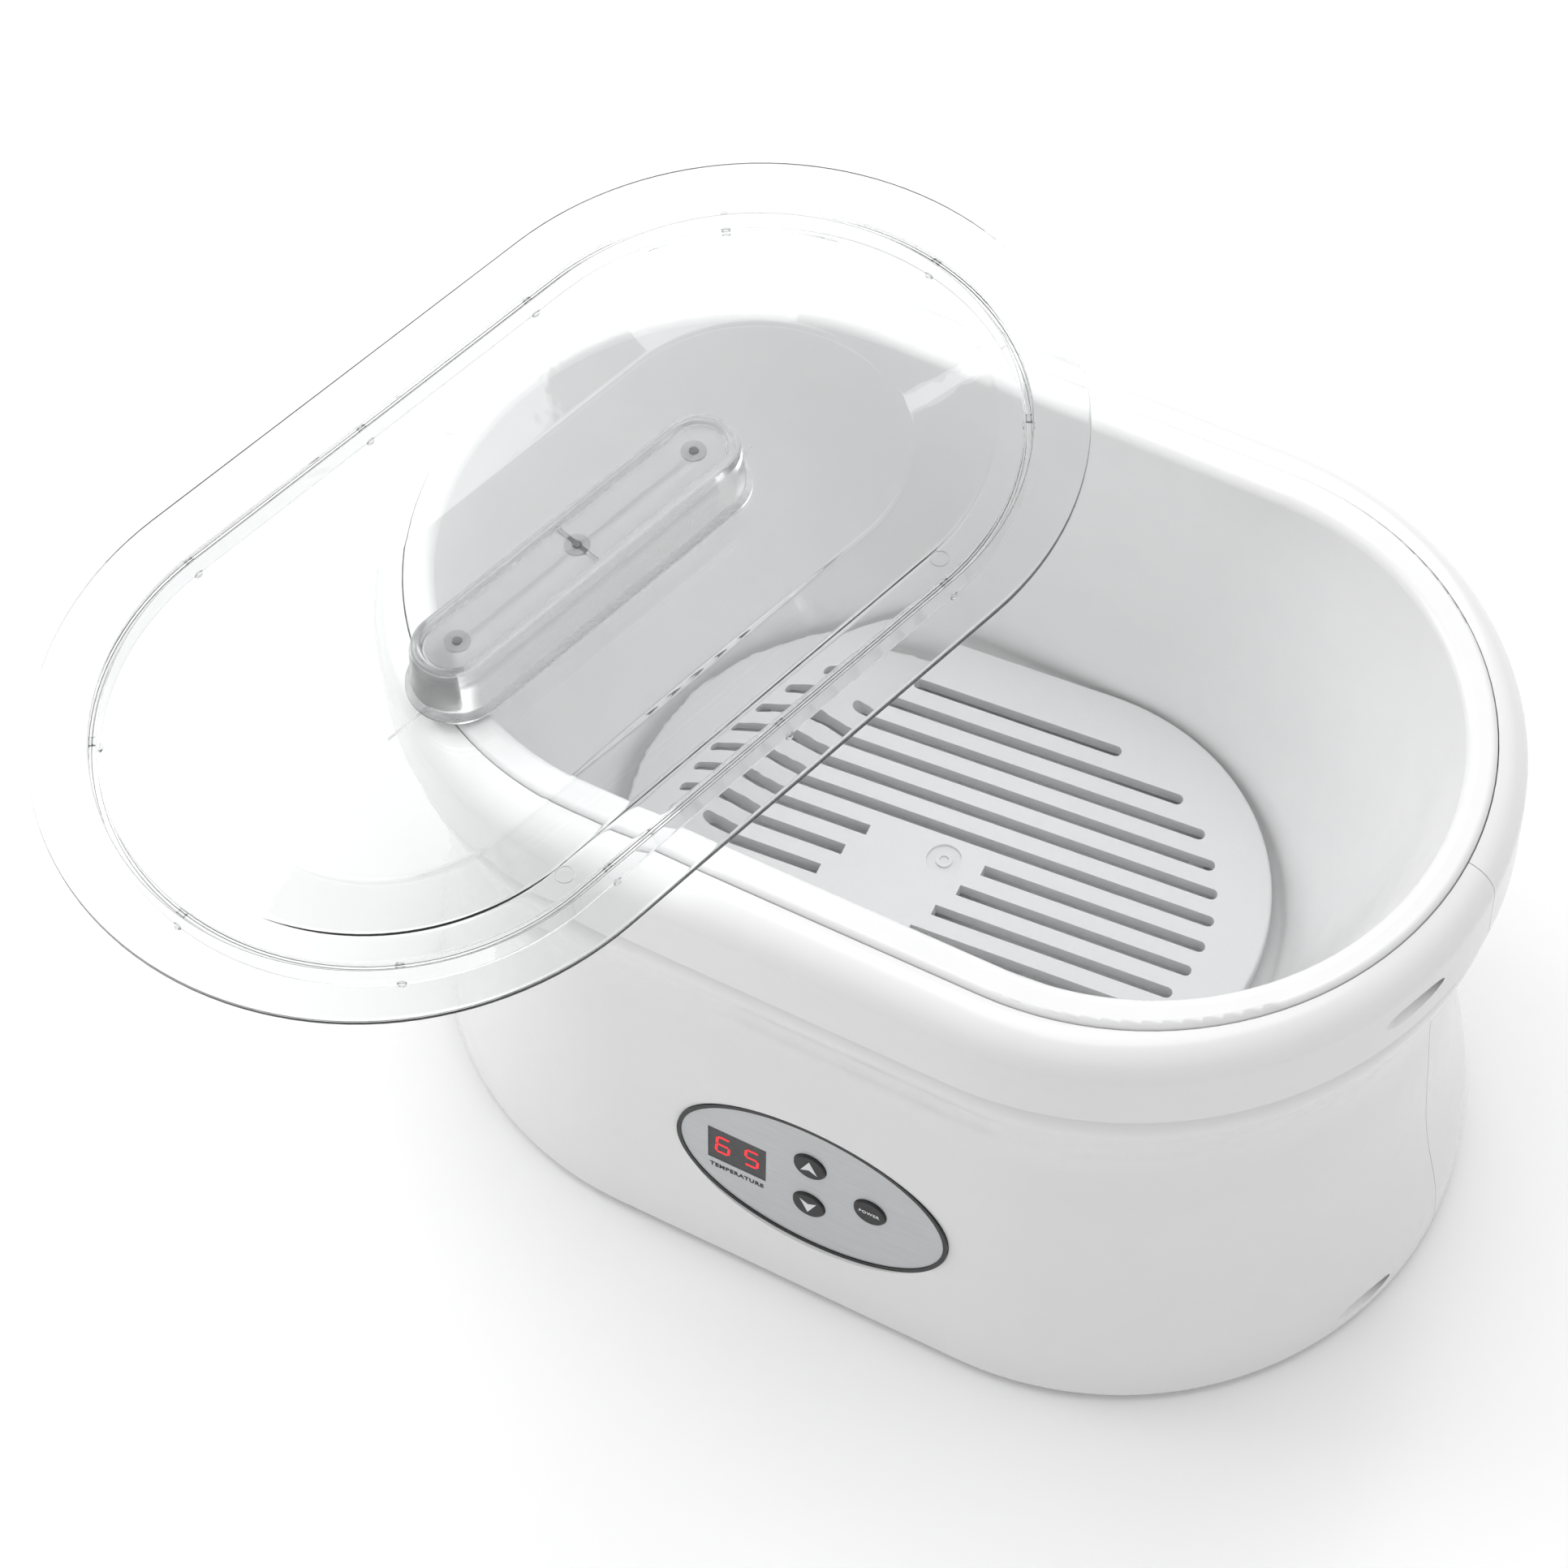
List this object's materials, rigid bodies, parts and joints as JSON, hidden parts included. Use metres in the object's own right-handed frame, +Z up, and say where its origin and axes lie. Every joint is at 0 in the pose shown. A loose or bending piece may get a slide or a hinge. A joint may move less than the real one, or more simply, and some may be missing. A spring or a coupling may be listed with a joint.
{
  "type": "wax warmer pot",
  "caption": "Stadium-shaped heated wax tub in a white two-part housing, with a slotted floor grate, an oval digital control panel, press keys and a loose clear dished lid with a bar handle.",
  "frame": {"origin": "centre of the base plate's underside; the rubber feet reach 3 mm lower", "axes": "+X along the tub's length to the user's right, -Y to the front with the control panel, +Z up"},
  "size_m": [0.428, 0.3668, 0.2519],
  "materials": {
    "housing": "glossy white moulded ABS",
    "tub": "glossy white coated wax tub",
    "grate": "satin pale grey heat-resistant plastic",
    "lid_clear": "clear polished polycarbonate",
    "lid_frost": "translucent frosted polycarbonate",
    "overlay": "brushed silver foil",
    "bezel": "gloss black",
    "window": "dark tinted display window",
    "button": "satin black key cap",
    "rubber": "soft black rubber",
    "gasket": "white silicone rubber",
    "steel": "zinc-plated steel",
    "brass": "plain brass",
    "heater": "bare aluminium",
    "insulation": "glass-fibre felt",
    "board": "green circuit board",
    "component": "black moulded component",
    "inlet": "black thermoplastic",
    "led": "red display block",
    "steel_sheet": "galvanised sheet"
  },
  "bodies": {
    "housing": {"front_shell": "housing", "rear_shell": "housing", "base_plate": "housing", "rubber_feet": "rubber", "base_screws": "steel", "end_screws": "steel", "wax_tub": "tub", "tub_gasket": "gasket", "heater_band": "heater", "insulation_wrap": "insulation", "floor_heater": "heater", "heat_shield": "steel_sheet", "temperature_sensor": "steel", "sensor_clip": "brass", "thermal_fuse": "component", "panel_bezel": "bezel", "panel_overlay": "overlay", "display_window": "window", "display_module": "led", "tact_switches": "component", "control_board": "board", "board_chip": "component", "panel_posts": "housing", "panel_screws": "steel", "power_inlet": "inlet", "inlet_pins": "brass", "inlet_screws": "steel", "inlet_nuts": "steel", "board_posts": "brass", "power_board": "board", "power_board_screws": "steel", "relay": "component", "transformer": "component", "capacitor": "component", "terminal_block": "inlet"},
    "lid": {"lid_cover": "lid_clear", "lid_handle": "lid_frost"},
    "floor_grate": {"grate": "grate"},
    "up_key": {"up_button": "button"},
    "down_key": {"down_button": "button"},
    "power_key": {"power_button": "button"}
  },
  "joints": [
    {"name": "lid_lift", "type": "slide", "parent": "housing", "child": "lid", "axis": [0, 0, 1], "range_m": [0, 0.14]},
    {"name": "grate_lift", "type": "slide", "parent": "housing", "child": "floor_grate", "axis": [0, 0, 1], "range_m": [0, 0.1]},
    {"name": "up_key_press", "type": "slide", "parent": "housing", "child": "up_key", "axis": [0, 0.9945, -0.1045], "range_m": [0, 0.0008], "stiffness_N_per_m": 400},
    {"name": "down_key_press", "type": "slide", "parent": "housing", "child": "down_key", "axis": [0, 0.9945, -0.1045], "range_m": [0, 0.0008], "stiffness_N_per_m": 400},
    {"name": "power_key_press", "type": "slide", "parent": "housing", "child": "power_key", "axis": [0, 0.9945, -0.1045], "range_m": [0, 0.0008], "stiffness_N_per_m": 400}
  ]
}
